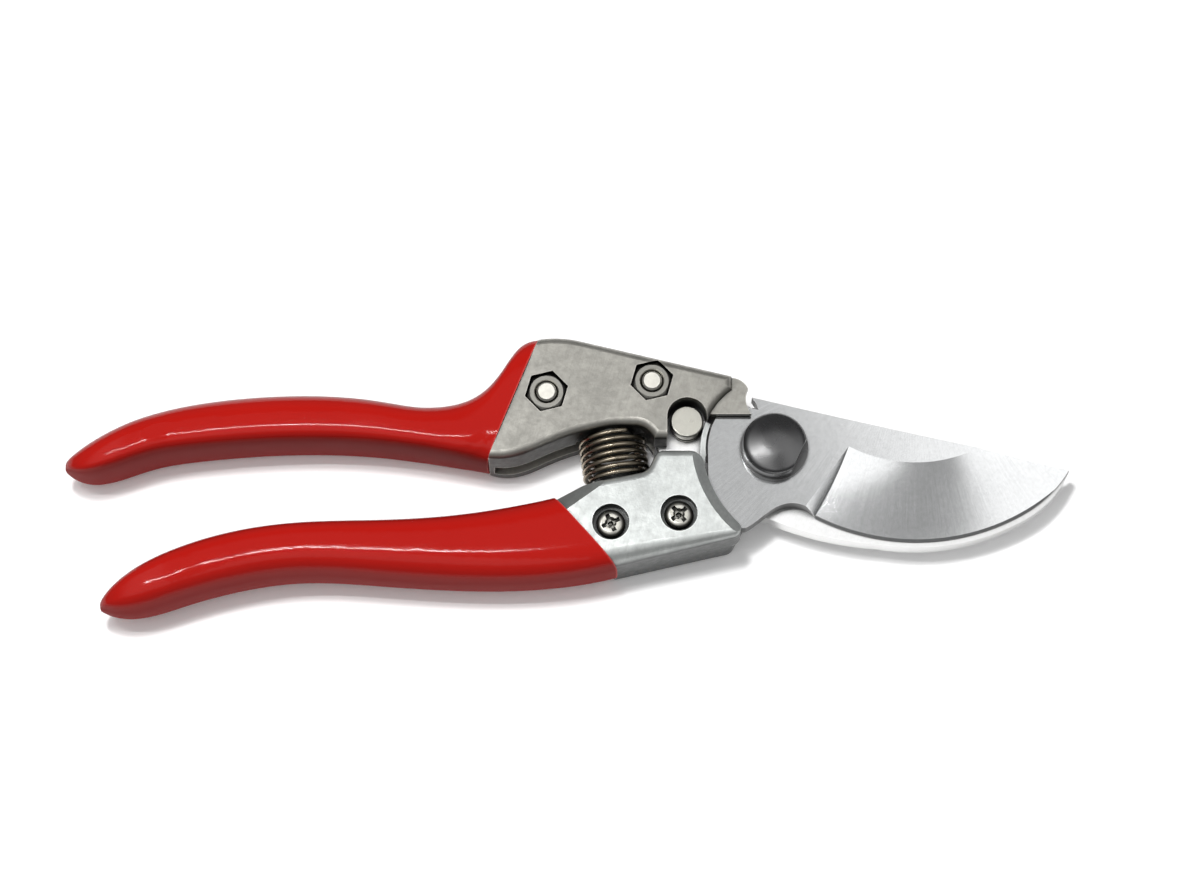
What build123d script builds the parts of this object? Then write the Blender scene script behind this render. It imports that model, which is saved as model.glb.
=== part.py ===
"""Bypass pruning shears, closed, lying on the back: X along the blades, Y across the handles, Z up.

The origin is on the pivot axis, on the surface that the shears lie on. Sizes are in millimetres.
The cutting blade belongs to the lower handle and the hooked counter blade to the upper one.
"""
from build123d import *
import math
import os

# Heights above the resting surface
grip_height = 15.2
grip_skin = 0.6
cast_bottom = grip_skin
cast_top = grip_height - grip_skin
layer_gap = 0.05
washer_bottom = 2.9
washer_top = 3.5
hook_bottom = washer_top + layer_gap
hook_thickness = 4.0
hook_top = hook_bottom + hook_thickness
blade_bottom = hook_top + layer_gap
blade_thickness = 3.6
blade_top = blade_bottom + blade_thickness
middle_height = grip_height / 2

# Pivot
pivot_shank_radius = 4.0
running_clearance = 0.05
bolt_end = 0.3
pivot_flange_radius = 6.8
pivot_flange_top = blade_top + 0.7
pivot_head_radius = 6.4
pivot_side_top = blade_top + 3.2
pivot_rim_radius = 4.9
pivot_rim_top = blade_top + 4.6
pivot_crown_top = blade_top + 5.2
pivot_flat_distance = 5.3
pivot_flat_angle = -25
pivot_nut_across_flats = 12.0
pivot_washer_radius = 7.4
pivot_washer_bore = 4.3

# Cutting blade
disc_radius = 13.2
blade_shoulder = (-4.3, 10.75)
heel_angle = 242.55
neck_corner = (-5.8, -16.4)
tang_points = ((-13.2, -6.6), (-20.5, -9.3), (-36.2, -12.6), (-36.0, -19.0), neck_corner)
edge_centre = (28.2, 24.9)
edge_radius = 43.4
edge_low = edge_centre[1] - edge_radius
blade_tip = (59.2, edge_low + 14.9)
grind_radius = 27.8
grind_start = 241.5
grind_sweep = 110
grind_hollow = 0.3
grind_overrun = 8.0
run_out_sweep = 14
run_out_foot = (6.0, -12.0)
bevel_width = 0.5
bevel_rise = 0.35
edge_land = 0.3

# Counter blade
hook_tip = (59.6, edge_low + 15.4)
hook_margin = 1.0
hook_round_radius = 13.0
heel_lip = (-1.6, -13.35)
heel_rise = (9.0, -17.0)
hook_side_angle = 260
stop_lip = (-0.3, -14.0)
stop_rise = (5.2, -15.9)
opening_limit = 28.0
stop_margin = 1.4
closing_gap = 0.35

# Castings
cast_round = 1.5
back_round = 0.8
slot_gap = 0.05
slot_side = 0.15
sweep_clearance = 0.35
step_radius = 14.4
tongue_bottom = blade_top + sweep_clearance
tongue_top = 12.9
plateau = -1.1
cheek_inner = disc_radius + 0.5
cheek_outer = cheek_inner + 1.0
cheek_bottom = hook_top + 0.2
cheek_top = 10.5
back_arc_radius = 13.9

# Grips
inner_squareness = 4.4
section_points = 28
nose_length = 14.0
nose_squareness = 2.4
oval_steps = 720
tang_inset = 1.35
cavity_inset = 1.25
border_gap = 0.05
tang_root = 2.0
grip_reach = 400

# Fasteners
screw_radius = 2.0
screw_hole_radius = 2.1
nut_across_flats = 7.0
nut_height = 3.0
nut_rim_share = 0.95
nut_rim_slope = 30
bore_sink = 0.45
screw_end_chamfer = 0.35
recess_across_flats = 7.7
upper_screw_places = ((-45.5, 11.0), (-24.4, 13.3))
lower_screw_places = ((-32.7, -16.1), (-19.2, -14.3))
hex_turn = 14
cross_turns = (25, 40)
counterbore_radius = 3.7
back_recess_radius = 3.3
pan_head_radius = 2.9
pan_head_height = 1.7
pan_head_round = 1.2
front_head_seat = 12.2
back_head_seat = 2.5
front_nut_seat = 11.2
back_nut_seat = 3.8
front_screw_end = 14.5
back_screw_end = 0.9
cross_width = 0.9
cross_length = 3.8
cross_depth = 1.0
pit_radius = 1.15
pit_end_radius = 0.35
pit_depth = 1.5

# Lock
lock_place = (-17.4, 5.7)
lock_radius = 3.3
lock_clearance = 0.06
lock_top = 11.3
lock_bottom = hook_bottom + 0.05
lock_recess_radius = 4.0
lock_edge_round = 0.35
lug_top = 3.1
lug_hole_radius = 3.65
lug_wall = 1.6
lug_neck = 7.0
lug_neck_length = 8.7
ring_groove_radius = 2.5
ring_section_radius = 0.38
ring_groove_half = 0.45
ring_height = 8.7

# Return spring
wire_radius = 0.475
coil_radius = 6.3
coil_pitch = 1.4
coil_turns = 6.25
coil_lean = 8.0
coil_foot = (-31.3, -5.8)
coil_phase = -60
peg_radius = 4.6
peg_height = 2.4
peg_root = 1.6
spring_seat_gap = 0.1

os.makedirs("parts", exist_ok=True)
upward = Vector(0, 0, 1)
upright = (Align.CENTER, Align.CENTER, Align.MIN)


def turned(point, degrees):
    """A point of the plan turned about the pivot, anticlockwise seen from above."""
    c = math.cos(math.radians(degrees))
    s = math.sin(math.radians(degrees))
    return (point[0] * c - point[1] * s, point[0] * s + point[1] * c)


def on_circle(radius, degrees):
    """A point of a circle around the pivot."""
    return turned((radius, 0), degrees)


def hexagon_radius(across_flats):
    """The corner radius of a hexagon."""
    return across_flats / math.sqrt(3)


def save(builder, name):
    """Name a finished sub-part and write its file."""
    builder.part.label = name
    export_step(builder.part, f"parts/{name}.step")


# Grips: each follows an inner curve and a palm curve, and ends at a slanted border with its casting
upper_inner = Spline((-141.9, -3.8), (-138.4, -5.3), (-127.5, -2.85), (-112, 0), (-96, 1), (-80, 0.5),
                     (-68.5, -1), (-57.3, -3.2))
upper_palm = Spline((-141.9, -2.3), (-137.5, 1.1), (-126.8, 6.55), (-111, 10.2), (-95, 11.3), (-80, 10.3),
                    (-66, 8.9), (-60.8, 10.4), (-57.2, 12.7), (-54.4, 16.2), (-52.6, 19.3), (-50.2, 21.6),
                    (-46.9, 22.8))
lower_inner = Spline((-133.8, -31.4), (-131.8, -29), (-120.5, -21.65), (-109, -17.75), (-95, -15.55),
                     (-80, -15), (-66, -14.2), (-54, -12.5), (-44.3, -10.4))
lower_palm = Spline((-133.7, -32.5), (-129.6, -33.75), (-118, -31.3), (-107.5, -28.3), (-94, -26.35),
                    (-80, -26.9), (-64, -27.9), (-48, -27.7), (-31.4, -25))

# Stations of each grip: the inner curve's x, the palm curve's x and the palm's squareness
upper_stations = ((-141.8, -141.8, 2.2), (-141.2, -141.2, 2.2), (-139.7, -139.5, 2.25),
                  (-136.9, -136.4, 2.3), (-132.4, -131.8, 2.4), (-126.4, -125.8, 2.5),
                  (-118.9, -118.4, 2.5), (-110.4, -110, 2.5),
                  (-101.9, -101.8, 2.5), (-93.4, -93.4, 2.5), (-84.9, -84.9, 2.5), (-77, -77, 2.55),
                  (-70.5, -70, 2.65), (-66, -63.8, 2.8), (-62.7, -58.5, 3.1), (-60.5, -54.3, 3.5),
                  (-58.8, -51.4, 4.0), (-57.3, -46.9, 4.5))
lower_stations = ((-133.7, -133.6, 2.2), (-133.2, -132.9, 2.2), (-131.8, -131, 2.25), (-129.2, -127.8, 2.3),
                  (-125, -123.2, 2.4), (-119.2, -117.2, 2.5), (-112, -110.2, 2.5), (-104, -102.4, 2.5),
                  (-95.8, -94.4, 2.5), (-87.5, -86.2, 2.5), (-79.2, -77.6, 2.5), (-71.2, -68.6, 2.55),
                  (-63.6, -59.4, 2.7), (-56.6, -50, 2.9), (-50.2, -40.6, 3.2), (-44.3, -31.4, 3.5))
solid_tip_count = 5
upper_curves = (upper_inner, upper_palm)
lower_curves = (lower_inner, lower_palm)


def point_at(curve, x):
    """The point of a plan curve at a given x, found by halving."""
    low, high = 0.0, 1.0
    for _ in range(40):
        middle = (low + high) / 2
        if (curve @ middle).X < x:
            low = middle
        else:
            high = middle
    return curve @ high


def oval(half_width, half_height, palm_squareness):
    """Points round an oval, the same distance apart, squarer on the inner side than on the palm side."""
    fine = []
    for step in range(oval_steps + 1):
        angle = 2 * math.pi * step / oval_steps
        c = math.cos(angle)
        s = math.sin(angle)
        power = 2 / (palm_squareness if c > 0 else inner_squareness)
        fine.append(Vector(math.copysign(abs(c) ** power, c) * half_width,
                           math.copysign(abs(s) ** power, s) * half_height))
    walked = [0.0]
    for before, after in zip(fine, fine[1:]):
        walked.append(walked[-1] + (after - before).length)
    ring = []
    place = 0
    for step in range(section_points):
        wanted = walked[-1] * step / section_points
        while walked[place + 1] <= wanted:
            place += 1
        part = (wanted - walked[place]) / (walked[place + 1] - walked[place])
        ring.append(fine[place] + (fine[place + 1] - fine[place]) * part)
    return ring


def handle_section(inner, palm, height, palm_squareness, inset):
    """One oval section of a handle. All sections run through their points at the same pace."""
    across = palm - inner
    middle = (palm + inner) * 0.5 + upward * middle_height
    plane = Plane(origin=middle, x_dir=across, z_dir=across.cross(upward))
    ring = oval(across.length / 2 - inset, height / 2 - inset, palm_squareness)
    pace = [step / section_points for step in range(section_points + 1)]
    with BuildSketch(plane) as section:
        with BuildLine():
            add(Edge.make_spline(ring, periodic=True, parameters=pace))
        make_face()
    return section.sketch


def nose(distance):
    """The share of the full height at a distance from a grip's tip."""
    left = max(0, 1 - distance / nose_length)
    return (1 - left**nose_squareness) ** (1 / nose_squareness)


def handle_sections(curves, stations, inset):
    """The sections of a handle at its stations."""
    inner, palm = curves
    sections = []
    for inner_x, palm_x, squareness in stations:
        ends = point_at(inner, inner_x), point_at(palm, palm_x)
        height = grip_height * nose(inner_x - (inner @ 0).X)
        sections.append(handle_section(*ends, height, squareness, inset))
    return sections


def border(curves):
    """The inner and palm ends of a grip's border, and the plan direction from it to the casting."""
    inner, palm = curves[0] @ 1, curves[1] @ 1
    facing = (palm - inner).cross(upward).normalized()
    return inner, palm, facing if facing.X > 0 else facing * -1


def border_corners(curves):
    """The two corners of a casting at its grip's border, one skin inside the grip's surface."""
    inner, palm, facing = border(curves)
    skin = (palm - inner).normalized() * grip_skin
    shift = facing * border_gap
    low, high = inner + skin + shift, palm - skin + shift
    return (low.X, low.Y), (high.X, high.Y)


def away_from_border(edges, curves):
    """The edges of one level of a casting, without the one along its grip."""
    inner, palm, _ = border(curves)
    return edges.sort_by_distance((inner + palm) * 0.5)[1:]


for name, curves, stations in (
    ("upper_grip", upper_curves, upper_stations),
    ("lower_grip", lower_curves, lower_stations),
):
    tang_stations = stations[solid_tip_count:]
    with BuildPart() as grip:
        loft(sections=handle_sections(curves, stations, 0))
        # The broad sides are flat
        Box(grip_reach, grip_reach, grip_height, align=upright, mode=Mode.INTERSECT)
        loft(sections=handle_sections(curves, tang_stations, cavity_inset), ruled=True, mode=Mode.SUBTRACT)
    save(grip, name)


# The spring leans from Y towards the grips
coil_axis = Vector(-math.sin(math.radians(coil_lean)), math.cos(math.radians(coil_lean)), 0)
coil_start = Vector(coil_foot[0], coil_foot[1], middle_height)
coil_end = coil_start + coil_axis * (coil_pitch * coil_turns)
lower_peg = Plane(origin=coil_start - coil_axis * peg_root, x_dir=upward, z_dir=coil_axis)
upper_peg = Plane(origin=coil_end + coil_axis * peg_root, x_dir=upward, z_dir=coil_axis * -1)
spring_seat = wire_radius + spring_seat_gap
spring_room = Plane(origin=coil_start - coil_axis * spring_seat, x_dir=upward, z_dir=coil_axis)
spring_room_length = coil_pitch * coil_turns + 2 * spring_seat

# Upper handle
upper_low_corner, upper_top_corner = border_corners(upper_curves)
crown_end = (-38.3, 21.75)
slope_end = (-8.4, 14.45)
step_top = (slope_end[0], math.sqrt(step_radius**2 - slope_end[0] ** 2))
step_foot = on_circle(step_radius, 166)
wall_foot = (-13.9, 1.35)
arch_foot = (-24.0, 1.35)
arch_top = (-28.4, 4.15)
hook_tang_top = ((-7.5, 12.3), (-14.0, 14.2), (-22.5, 16.3), (-27.5, 16.7), (-49.0, 14.6))
slot_mouth = ((-56.0, -3.4), (-56.0, -8.0), (-7.5, -8.0))
lug_reach = lug_hole_radius + lug_wall
lug_pocket_radius = math.hypot(*lock_place) + lug_reach + sweep_clearance
lug_pocket_top = lock_place[1] + lug_reach + sweep_clearance
all_through = 40

front_arch = ((-36.6, 3.35), (-45.3, 0.4), (-50.6, -1.9))
back_arch = ((-36.6, 2.4), (-44.9, -0.5), (-50.2, -2.8))


def upper_outline(height, arch):
    """The plan of the upper handle at a height, with its arched underside through some points."""
    with BuildSketch(Plane.XY.offset(height)) as plan:
        with BuildLine():
            ThreePointArc(upper_top_corner, (-42.6, 22.45), crown_end)
            Polyline(crown_end, slope_end, step_top)
            ThreePointArc(step_top, on_circle(step_radius, 145), step_foot)
            Polyline(step_foot, wall_foot, arch_foot)
            ThreePointArc(arch_foot, (-25.4, 3.25), arch_top)
            Spline(arch_top, *arch, upper_low_corner)
            Line(upper_low_corner, upper_top_corner)
        make_face()
    return plan.sketch


with BuildPart() as upper_handle:
    # The arched underside leans outwards to the back
    loft(sections=(upper_outline(cast_bottom, back_arch), upper_outline(cast_top, front_arch)), ruled=True)
    fillet(away_from_border(upper_handle.edges().group_by(Axis.Z)[-1], upper_curves), cast_round)
    fillet(away_from_border(upper_handle.edges().group_by(Axis.Z)[0], upper_curves), back_round)
    # Tang
    loft(sections=handle_sections(upper_curves, upper_stations[solid_tip_count:], tang_inset), ruled=True)
    extrude(to_extrude=handle_sections(upper_curves, upper_stations[-1:], tang_inset)[0],
            amount=tang_root, dir=border(upper_curves)[2])
    # Tongue in front of the blade
    with BuildSketch(Plane.XY.offset(tongue_bottom)):
        with BuildLine():
            Polyline((-12.0, 15.1), (-15.5, 9.0), (-14.6, 6.7), (-4.5, 6.7))
            ThreePointArc((-4.5, 6.7), (-5.6, 9.6), (-5.1, 12.0))
            ThreePointArc((-5.1, 12.0), (-6.1, 13.4), (-8.4, 14.3))
            Line((-8.4, 14.3), (-12.0, 15.1))
        make_face()
    extrude(amount=tongue_top - tongue_bottom)
    # Room for the cutting blade, the counter blade's slot and the lock
    with BuildSketch(Plane.XY.offset(hook_bottom)):
        Circle(cheek_outer + sweep_clearance)
    extrude(amount=tongue_bottom - hook_bottom, mode=Mode.SUBTRACT)
    with BuildSketch(Plane.XY.offset(hook_bottom - slot_gap)):
        with BuildLine():
            Polyline(*hook_tang_top, *slot_mouth, close=True)
        make_face()
        offset(amount=slot_side)
    extrude(amount=hook_thickness + 2 * slot_gap, mode=Mode.SUBTRACT)
    with BuildSketch(Plane.XY.offset(hook_top)):
        with Locations(lock_place):
            Circle(lock_recess_radius)
            Rectangle(2 * lock_recess_radius, all_through, align=(Align.CENTER, Align.MAX))
    extrude(amount=cast_top, mode=Mode.SUBTRACT)
    with BuildSketch():
        Circle(lug_pocket_radius)
        with Locations((0, lug_pocket_top)):
            Rectangle(all_through * 2, all_through, align=(Align.CENTER, Align.MAX), mode=Mode.INTERSECT)
    extrude(amount=hook_bottom, mode=Mode.SUBTRACT)
    # Screw holes, nut recesses in front and head recesses at the back
    with BuildSketch():
        with Locations(*upper_screw_places):
            Circle(screw_hole_radius)
    extrude(amount=all_through, mode=Mode.SUBTRACT)
    with BuildSketch(Plane.XY.offset(front_nut_seat)):
        with Locations(*upper_screw_places):
            RegularPolygon(hexagon_radius(recess_across_flats), 6, rotation=hex_turn)
    extrude(amount=all_through, mode=Mode.SUBTRACT)
    with BuildSketch():
        with Locations(*upper_screw_places):
            Circle(back_recess_radius)
    extrude(amount=back_head_seat, mode=Mode.SUBTRACT)
    # Spring room and peg
    with BuildSketch(spring_room):
        Circle(coil_radius + wire_radius + sweep_clearance)
    extrude(amount=spring_room_length, mode=Mode.SUBTRACT)
    with BuildSketch(upper_peg):
        Circle(peg_radius)
    extrude(amount=peg_root + peg_height)
save(upper_handle, "upper_handle")

# Lower handle
lower_top_corner, lower_low_corner = border_corners(lower_curves)
ledge = (-38.2, -8.0)
seat_corner = (-25.4, -5.45)
plateau_start = (-23.4, plateau)
plate_corner = (-14.4, plateau)
plate_side = (-11.6, -10.4)
plate_end = (-4.6, -18.2)
plate_corner_round = 3.0
stop_corner_round = 1.0
shared_rounds = ((seat_corner, 3.0), (plateau_start, 1.8))
end_round = 1.9
back_end = (-8.6, -19.14)
back_arc_start = (-math.sqrt(back_arc_radius**2 - plateau**2), plateau)
back_arc_side = on_circle(back_arc_radius, 215)
stop_foot = turned(stop_lip, -opening_limit - stop_margin)
stop_head = turned(stop_rise, -opening_limit - stop_margin)
stop_share = 0.4
stop_top = tuple(a + (b - a) * stop_share for a, b in zip(stop_foot, stop_head))
pocket_mouth = ((0.0, neck_corner[1]), (0.0, tang_points[0][1]))
chamfer_start = Vector(-41.2, -13.4, cast_top)
chamfer_end = Vector(-33.4, -7.7, cast_top)
chamfer_run = (chamfer_end - chamfer_start).normalized()
chamfer_plane = Plane(origin=(chamfer_start + chamfer_end) * 0.5, x_dir=chamfer_run,
                      z_dir=upward.cross(chamfer_run) + upward)
chamfer_cut = 16
cheek_from, cheek_to = 157, 186
wide_round = 4.2
narrow_round = 1.3
cut_margin = 1.0
palm_round_lead = 0.25
palm_round_start = tuple(a + (a - b) * palm_round_lead for a, b in zip(lower_low_corner, plate_end))
facet_width = 2.2
facet_depth = 1.5
cheek_block = (-14.75, -6.0)
cheek_block_height = 4.8


def palm_round(place, radius):
    """The corner that is cut off to round the palm side of the lower handle at one place."""
    run = Vector(*plate_end) - Vector(*lower_low_corner)
    bulge = radius * (1 - math.sqrt(0.5))
    with BuildSketch(Plane(origin=(*place, cast_top), x_dir=upward.cross(run), z_dir=run)) as section:
        with BuildLine():
            Polyline((0, -radius), (-cut_margin, -radius), (-cut_margin, cut_margin), (radius, cut_margin),
                     (radius, 0))
            ThreePointArc((radius, 0), (bulge, -bulge), (0, -radius))
        make_face()
    return section.sketch


def corner_of(outline, point):
    """The corner of an outline that is nearest to a point of the plan."""
    return outline.vertices().sort_by_distance((*point, 0))[:1]


# Back half, hollowed round the counter blade and with the face that stops its heel
with BuildPart() as back_half:
    with BuildSketch(Plane.XY.offset(cast_bottom)) as back_outline:
        with BuildLine():
            Polyline(lower_low_corner, lower_top_corner, ledge, seat_corner, plateau_start, back_arc_start)
            ThreePointArc(back_arc_start, back_arc_side, stop_foot)
            Polyline(stop_foot, stop_top, back_end, lower_low_corner)
        make_face()
        for corner, radius in (*shared_rounds, (stop_top, stop_corner_round), (back_end, end_round)):
            fillet(corner_of(back_outline, corner), radius)
    extrude(amount=hook_top - cast_bottom)
    fillet(away_from_border(back_half.edges().group_by(Axis.Z)[0], lower_curves), back_round)

with BuildPart() as lower_handle:
    # Front half: the plate over the cutting blade's tang
    with BuildSketch(Plane.XY.offset(hook_top)) as plate_outline:
        with BuildLine():
            Polyline(lower_low_corner, lower_top_corner, ledge, seat_corner, plateau_start, plate_corner)
            plate_edge = ThreePointArc(plate_corner, plate_side, plate_end)
            Line(plate_end, lower_low_corner)
        make_face()
        for corner, radius in (*shared_rounds, (plate_corner, plate_corner_round), (plate_end, end_round)):
            fillet(corner_of(plate_outline, corner), radius)
    extrude(amount=cast_top - hook_top)
    fillet(away_from_border(lower_handle.edges().group_by(Axis.Z)[-1], lower_curves), cast_round)
    # The round of the palm side widens towards the grip
    loft(sections=(palm_round(palm_round_start, wide_round), palm_round(plate_end, narrow_round)),
         mode=Mode.SUBTRACT)
    # Sloped facet along the cutting blade
    with BuildSketch(Plane(origin=plate_edge.arc_center, x_dir=(-1, 0, 0), z_dir=(0, 1, 0))):
        with BuildLine():
            Polyline((plate_edge.radius + facet_width, cast_top),
                     (plate_edge.radius - facet_width, cast_top - 2 * facet_depth),
                     (plate_edge.radius - facet_width, cast_top + facet_depth),
                     (plate_edge.radius + facet_width, cast_top + facet_depth), close=True)
        make_face()
    revolve(axis=Axis(plate_edge.arc_center, upward), mode=Mode.SUBTRACT)
    add(back_half.part)
    # Tang
    loft(sections=handle_sections(lower_curves, lower_stations[solid_tip_count:], tang_inset), ruled=True)
    extrude(to_extrude=handle_sections(lower_curves, lower_stations[-1:], tang_inset)[0],
            amount=tang_root, dir=border(lower_curves)[2])
    # Sloped corner beside the grip, and the pocket of the cutting blade's tang
    with BuildSketch(chamfer_plane):
        Rectangle(chamfer_cut, chamfer_cut)
    extrude(amount=chamfer_cut, mode=Mode.SUBTRACT)
    with BuildSketch(Plane.XY.offset(blade_bottom - slot_gap)):
        with BuildLine():
            Polyline(*tang_points, *pocket_mouth, close=True)
        make_face()
        offset(amount=slot_side)
    extrude(amount=blade_thickness + 2 * slot_gap, mode=Mode.SUBTRACT)
    # Screw holes, head recesses in front and nut recesses at the back
    with BuildSketch():
        with Locations(*lower_screw_places):
            Circle(screw_hole_radius)
    extrude(amount=all_through, mode=Mode.SUBTRACT)
    with BuildSketch(Plane.XY.offset(front_head_seat)):
        with Locations(*lower_screw_places):
            Circle(counterbore_radius)
    extrude(amount=all_through, mode=Mode.SUBTRACT)
    with BuildSketch():
        with Locations(*lower_screw_places):
            RegularPolygon(hexagon_radius(recess_across_flats), 6, rotation=hex_turn)
    extrude(amount=back_nut_seat, mode=Mode.SUBTRACT)
    # Spring room and peg
    with BuildSketch(spring_room):
        Circle(coil_radius + wire_radius + sweep_clearance)
    extrude(amount=spring_room_length, mode=Mode.SUBTRACT)
    with BuildSketch(lower_peg):
        Circle(peg_radius)
    extrude(amount=peg_root + peg_height)
    # Lug that the lock button is pushed into
    with BuildSketch(Plane.XY.offset(cast_bottom)):
        with Locations(lock_place):
            Circle(lug_reach)
            Rectangle(lug_neck, lug_neck_length, align=(Align.CENTER, Align.MAX))
            Circle(lug_hole_radius, mode=Mode.SUBTRACT)
    extrude(amount=lug_top - cast_bottom)
    # Cheek beside the cutting blade's disc
    with BuildSketch(Plane.XY.offset(cheek_bottom)):
        with BuildLine():
            CenterArc((0, 0), cheek_inner, cheek_from, cheek_to - cheek_from)
            CenterArc((0, 0), cheek_outer, cheek_from, cheek_to - cheek_from)
            Line(on_circle(cheek_inner, cheek_from), on_circle(cheek_outer, cheek_from))
            Line(on_circle(cheek_inner, cheek_to), on_circle(cheek_outer, cheek_to))
        make_face()
        with Locations(cheek_block):
            Rectangle(cheek_outer - cheek_inner, cheek_block_height, align=(Align.MIN, Align.MIN))
    extrude(amount=cheek_top - cheek_bottom)
save(lower_handle, "lower_handle")


def on_edge(radius, degrees):
    """A point of a circle around the centre of the cutting edge."""
    x, y = on_circle(radius, degrees)
    return (edge_centre[0] + x, edge_centre[1] + y)


# Cutting blade, hollow ground on a circle around the centre of its edge
spine_middle = (26.2, 3.5)
edge_end_angle = -60
blade_heel = on_edge(edge_radius, heel_angle)
neck_curve = ((5.6, -11.7), (3.6, -11.3), (1.2, -11.7), (-1.8, -13.5))
disc_start = (-disc_radius, -0.6)
disc_end = (-9.9, 8.73)
notch = ((-5.5, 8.6), (-3.0, 8.1), (-3.4, 9.3))
pivot_hole_radius = pivot_shank_radius + running_clearance
grind_end = edge_radius + grind_overrun
edge_height = blade_bottom + edge_land
grind_slope = (edge_height - blade_top) / (edge_radius - grind_radius)
bevel_start = (edge_radius - bevel_width, edge_height + bevel_rise)
grind_middle = ((grind_radius + edge_radius) / 2, (blade_top + edge_height) / 2 - grind_hollow)
wheel_start = grind_start - run_out_sweep
wheel_top = blade_top + cut_margin
wheel_direction = Vector(*on_circle(1, wheel_start))
wheel_plane = Plane(origin=edge_centre, x_dir=wheel_direction, z_dir=wheel_direction.cross(upward))
run_out_top = Vector(*on_edge(grind_radius, grind_start), blade_top)
run_out_line = Vector(*run_out_foot, blade_top) - run_out_top
run_out_fall = Vector(*blade_heel, edge_height) - run_out_top
run_out = Plane(origin=run_out_top, x_dir=run_out_line, z_dir=run_out_line.cross(run_out_fall))

# What the wheel takes off the blade; its run out slopes up to the flat
with BuildPart() as wheel:
    with BuildSketch(wheel_plane):
        with BuildLine():
            ThreePointArc((grind_radius, blade_top), grind_middle, bevel_start)
            Polyline(bevel_start, (edge_radius, edge_height),
                     (grind_end, blade_top + grind_slope * (grind_end - grind_radius)),
                     (grind_end, wheel_top), (grind_radius, wheel_top), (grind_radius, blade_top))
        make_face()
    revolve(axis=Axis(edge_centre, upward), revolution_arc=grind_sweep)
    split(bisect_by=run_out, keep=Keep.TOP)

with BuildPart() as cutting_blade:
    with BuildSketch(Plane.XY.offset(blade_bottom)):
        with BuildLine():
            ThreePointArc(blade_shoulder, spine_middle, blade_tip)
            edge = ThreePointArc(blade_heel, on_edge(edge_radius, -90),
                                 on_edge(edge_radius, edge_end_angle))
            TangentArc(edge @ 1, blade_tip, tangent=edge % 1)
            Spline(blade_heel, *neck_curve, neck_corner)
            Polyline(*reversed(tang_points), disc_start)
            ThreePointArc(disc_start, on_circle(disc_radius, 160), disc_end)
            Polyline(disc_end, *notch, blade_shoulder)
        make_face()
        Circle(pivot_hole_radius, mode=Mode.SUBTRACT)
        with Locations(*lower_screw_places):
            Circle(screw_hole_radius, mode=Mode.SUBTRACT)
    extrude(amount=blade_thickness)
    add(wheel.part, mode=Mode.SUBTRACT)
save(cutting_blade, "cutting_blade")

# Counter blade: a hook under the cutting edge, a round eye and a tang in the upper handle
hook_rim_radius = edge_radius + hook_margin
hook_side = on_edge(hook_rim_radius, hook_side_angle)
hook_round_end = (-12.98, plateau + closing_gap)
hook_tang_low = ((-22.5, plateau + closing_gap), (-25.0, 7.5), (-27.0, 9.2), (-49.0, 7.2))
hook_back = ((-4.5, 9.8), (3.5, 8.0))
hook_mouth = ((9.5, 2.5), (14.5, edge_low + 12.5), (24.0, edge_low + 7.5), (36.0, edge_low + 6.7),
              (48.0, edge_low + 9.5))
lock_hole_radius = lock_radius + lock_clearance

with BuildPart() as counter_blade:
    with BuildSketch(Plane.XY.offset(hook_bottom)):
        with BuildLine():
            rim = ThreePointArc(hook_side, on_edge(hook_rim_radius, -80),
                                on_edge(hook_rim_radius, edge_end_angle))
            TangentArc(rim @ 1, hook_tip, tangent=rim % 1)
            ThreePointArc(hook_side, heel_rise, heel_lip)
            ThreePointArc(heel_lip, on_circle(hook_round_radius, 230), hook_round_end)
            Polyline(hook_round_end, *hook_tang_low, *reversed(hook_tang_top), *hook_back)
            Spline(hook_back[-1], *hook_mouth, hook_tip)
        make_face()
        Circle(pivot_hole_radius, mode=Mode.SUBTRACT)
        with Locations(lock_place):
            Circle(lock_hole_radius, mode=Mode.SUBTRACT)
        with Locations(*upper_screw_places):
            Circle(screw_hole_radius, mode=Mode.SUBTRACT)
    extrude(amount=hook_thickness)
save(counter_blade, "counter_blade")

# Pivot
with BuildPart() as pivot_bolt:
    with BuildSketch(Plane.XZ):
        with BuildLine():
            Polyline((0, pivot_crown_top), (0, bolt_end), (pivot_shank_radius, bolt_end),
                     (pivot_shank_radius, blade_top), (pivot_flange_radius, blade_top),
                     (pivot_flange_radius, pivot_flange_top), (pivot_head_radius, pivot_flange_top),
                     (pivot_head_radius, pivot_side_top))
            Spline((pivot_head_radius, pivot_side_top), (pivot_rim_radius, pivot_rim_top),
                   (0, pivot_crown_top), tangents=((0, 1), (-1, 0)))
        make_face()
    revolve(axis=Axis.Z)
    with BuildSketch(Plane.XY.offset(pivot_flange_top)):
        with Locations(on_circle(pivot_flat_distance, pivot_flat_angle)):
            Rectangle(all_through, all_through, rotation=pivot_flat_angle, align=(Align.MIN, Align.CENTER))
    extrude(amount=all_through, mode=Mode.SUBTRACT)
save(pivot_bolt, "pivot_bolt")

with BuildPart() as pivot_washer:
    with BuildSketch(Plane.XY.offset(washer_bottom)):
        Circle(pivot_washer_radius)
        Circle(pivot_washer_bore, mode=Mode.SUBTRACT)
    extrude(amount=washer_top - washer_bottom)
save(pivot_washer, "pivot_washer")


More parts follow.
